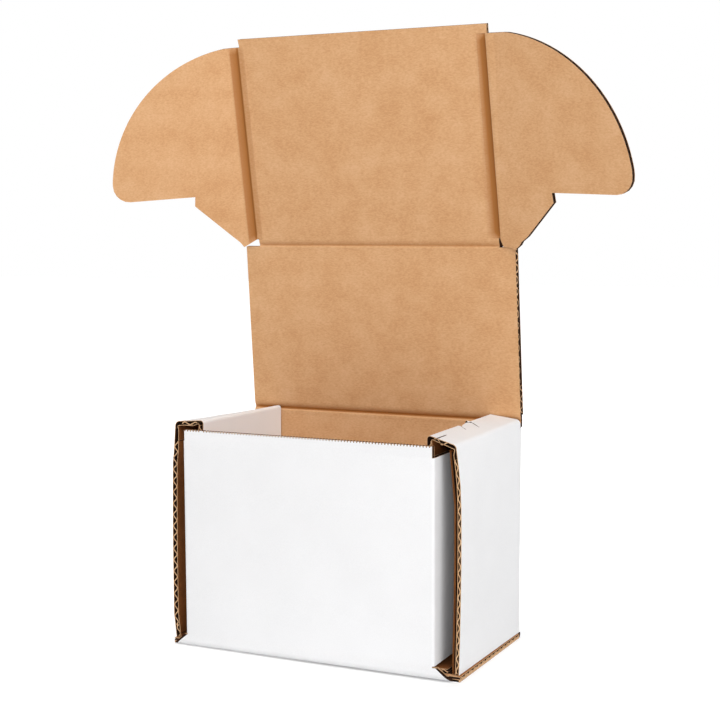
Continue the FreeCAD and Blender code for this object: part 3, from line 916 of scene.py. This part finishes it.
def make_creases():
    """The pressed board along each crease, with painted shade in its groove, bending between the
    two panels that it joins.

    Gives each strip with its two bodies, a point on the crease and the direction across it."""
    lid = crease("lid_crease", LID_CREASE, 2 * OUTER_FACE - 0.1, narrow=0.9, flip=-1)
    nudge(lid, (1.2, 0, 0), lambda p: p.x > 0)
    bend_up(lid, LID_LEAN)
    put(lid, Matrix.Translation((0, BACK_INNER, CREASE_UP)))
    shallow = [(s, d * 0.6, c * 0.45) for s, d, c in LID_CREASE]
    tuck = crease("tuck_crease", shallow, 2 * TUCK_EDGE, narrow=0.8, flip=-1)
    bend_up(tuck, TUCK_LEAN - LID_LEAN)
    # The white face runs out further at the right, below the ear.
    nudge(tuck, (2.0, 0, 0), lambda p: p.x > 70 and p.y > 1 and p.z > -0.1)
    put(tuck, LID_AT @ Matrix.Translation((0, 0, LID_LONG)))
    up = Vector((0, 0, 1))
    made = [(lid, "tray", "lid", LID_AT.translation, LID_AT.to_3x3() @ up),
            (tuck, "lid", "tuck_flap", TUCK_AT.translation, TUCK_AT.to_3x3() @ up)]
    for side, name in ((-1, "left_ear"), (1, "right_ear")):
        made.append((make_ear_crease(side, f"{name}_crease"), "tuck_flap", name,
                     TUCK_AT @ Vector((side * EAR_FACE, 0, 0)),
                     TUCK_AT.to_3x3() @ Vector((side, 0, 0))))
    return made


faces, returns, mediums = make_side_wall(side=-1, board=BOARD, lies_off=2.9, bulge=0.6, spread=1.5,
                                         tuck_in=0.0, back_out=0.0, setback=14.0)
lean_in(faces + returns + mediums)
left_return = join("left_return_panel", returns)
left_wall = join("left_side_wall", faces + mediums)
faces, returns, mediums = make_side_wall(side=1, board=2.0, lies_off=1.25, bulge=0.8, spread=0.5,
                                         tuck_in=2.4, back_out=1.1, setback=0.6)
cut_lock((*faces, mediums[1], mediums[2]), mediums[1])
right_wall = join("right_side_wall", faces + returns + mediums)
back_wall = make_back_wall()
base_panel = make_base()
front_wall = make_front_wall()
flared_foot = make_foot()
lid_panel = make_lid()
tuck_panel = make_tuck_flap()
left_ear = make_ear(-1, "left_ear_panel")
right_ear = make_ear(1, "right_ear_panel")

for piece, first, second, point, across in make_creases():
    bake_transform(piece)

for piece, body in ((left_wall, "tray"), (left_return, "tray"), (right_wall, "tray"),
                    (back_wall, "tray"), (base_panel, "tray"), (front_wall, "tray"),
                    (flared_foot, "tray"), (lid_panel, "lid"), (tuck_panel, "tuck_flap"),
                    (left_ear, "left_ear"), (right_ear, "right_ear")):
    take(piece)
    bpy.ops.object.shade_smooth_by_angle(angle=math.radians(35))
    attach(piece, body)
for side, wall in ((-1, left_wall), (1, right_wall)):
    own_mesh(wall)
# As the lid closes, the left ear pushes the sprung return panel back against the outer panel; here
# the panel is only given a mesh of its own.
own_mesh(left_return)
for piece, node in ((front_wall, "tray"), (lid_panel, "lid"), (tuck_panel, "tuck_flap"),
                    (left_ear, "left_ear"), (right_ear, "right_ear")):
    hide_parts(node)


# ---- table, light and camera
def seen_directly(tree):
    """1 for what the camera sees, straight or by way of gloss or glass, otherwise 0."""
    path = add(tree, "ShaderNodeLightPath")
    first = add(tree, "ShaderNodeMath", {0: (path, "Is Camera Ray"), 1: (path, "Is Glossy Ray")},
                operation="ADD")
    return add(tree, "ShaderNodeMath", {0: (first, "Value"), 1: (path, "Is Transmission Ray")},
               operation="ADD", use_clamp=True)


def make_table():
    """A seamless white table top. It glows where the camera sees it, and less so close to the
    box, so that the box's shadow shows."""
    deselect()
    bpy.ops.mesh.primitive_plane_add(size=12)
    top = bpy.context.object
    top.name = "table_top"
    finish, tree, shader = new_finish("white_table", 0.9, 0.1)
    shader.inputs["Base Color"].default_value = linear("F4F4F4")
    place = add(tree, "ShaderNodeTexCoord")
    shifted = add(tree, "ShaderNodeMapping", {"Vector": (place, "Object")},
                  Location=(-0.05, 0, 0))
    away = add(tree, "ShaderNodeVectorMath", {0: (shifted, "Vector")}, operation="LENGTH")
    # The glow rises from 0.2 at 60 mm from a point beside the box's middle to 0.82 at 220 mm.
    level = add(tree, "ShaderNodeMapRange", {"Value": (away, "Value")}, **{
        "From Min": 0.06, "From Max": 0.22, "To Min": 0.2, "To Max": 0.82})
    glow = add(tree, "ShaderNodeMath", {0: (seen_directly(tree), "Value"), 1: (level, "Result")},
               operation="MULTIPLY")
    shader.inputs["Emission Color"].default_value = linear("FFFFFF")
    tree.links.new(glow.outputs["Value"], shader.inputs["Emission Strength"])
    finish_with(top, finish)


def make_light(name, place, size, power):
    """A square softbox that faces the middle of the box; its size in metres, power in watts."""
    lamp = bpy.data.lights.new(name, "AREA")
    lamp.size = size
    lamp.energy = power
    bulb = bpy.data.objects.new(name, lamp)
    bulb.location = place
    towards = Vector((0, 0, 0.15)) - Vector(place)
    bulb.rotation_euler = towards.to_track_quat("-Z", "Y").to_euler()
    bpy.context.scene.collection.objects.link(bulb)


def make_world():
    """Plain white surroundings: dim as a light, full white where the camera sees them."""
    world = bpy.data.worlds.new("studio")
    bpy.context.scene.world = world
    world.use_nodes = True
    tree = world.node_tree
    sky = tree.nodes["Background"]
    sky.inputs["Color"].default_value = linear("FFFFFF")
    dim = 0.3
    level = add(tree, "ShaderNodeMath", {0: (seen_directly(tree), "Value")},
                operation="MULTIPLY_ADD", in_1=1 - dim, in_2=dim)
    tree.links.new(level.outputs["Value"], sky.inputs["Strength"])


def make_camera():
    """A long lens in front of the box, to its right and a little above its side walls."""
    camera = bpy.data.objects.new("camera", bpy.data.cameras.new("camera"))
    bpy.context.scene.collection.objects.link(camera)
    camera.data.lens = 72.57
    camera.data.sensor_width = 36
    place = Vector((336.01, -697.54, 217.27)) * MM
    ahead = Vector((-0.42446, 0.90171, -0.08215))
    above = Vector((-0.03735, 0.07321, 0.99662))
    camera.matrix_world = Matrix.Translation(place) @ Matrix(
        (ahead.cross(above), above, -ahead)).transposed().to_4x4()
    bpy.context.scene.camera = camera


make_table()
make_world()
make_camera()
make_light("front_softbox", (1.05, -1.5, 0.64), size=1.1, power=2)
make_light("front_fill", (1.05, -2.75, 0.95), size=0.5, power=20)
make_light("right_softbox", (1.16, -0.67, 1.49), size=1.1, power=19)
make_light("left_softbox", (-0.89, -1.28, 1.24), size=1.1, power=6)
make_light("back_softbox", (-0.2, 1.7, 1.2), size=1.2, power=6)
bpy.context.scene.view_settings.view_transform = "Standard"
